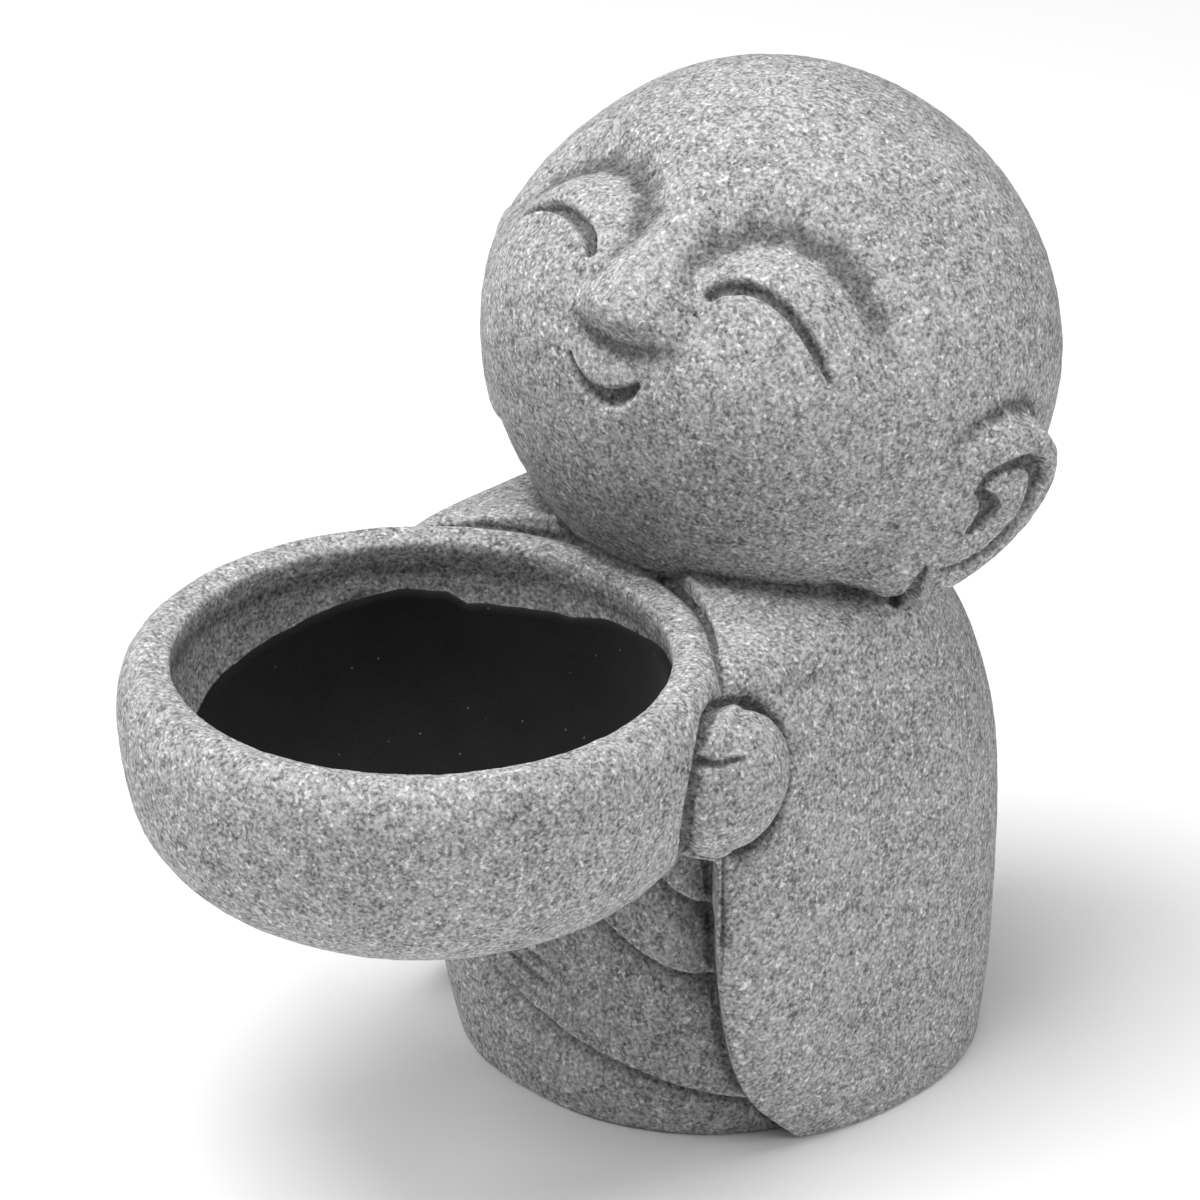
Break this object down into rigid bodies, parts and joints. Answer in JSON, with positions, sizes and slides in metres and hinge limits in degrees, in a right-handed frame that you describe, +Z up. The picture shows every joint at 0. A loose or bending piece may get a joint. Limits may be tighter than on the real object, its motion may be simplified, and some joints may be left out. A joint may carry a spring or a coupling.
{
  "type": "stone jizo statue",
  "caption": "Small cast stone child-monk figure with a round smiling head, holding a lined bowl against its chest with both hands.",
  "frame": {"origin": "middle of the foot's underside, on the ground", "axes": "+Z up, the figure's front along -Y, its own left along +X"},
  "size_m": [0.1171, 0.1867, 0.1801],
  "materials": {
    "cast_stone": "matte, fine grained granite-like cast stone",
    "black_felt": "matte short-pile felt"
  },
  "bodies": {
    "root": {"jizo_figure": "cast_stone", "bowl_lining": "black_felt"}
  },
  "joints": []
}
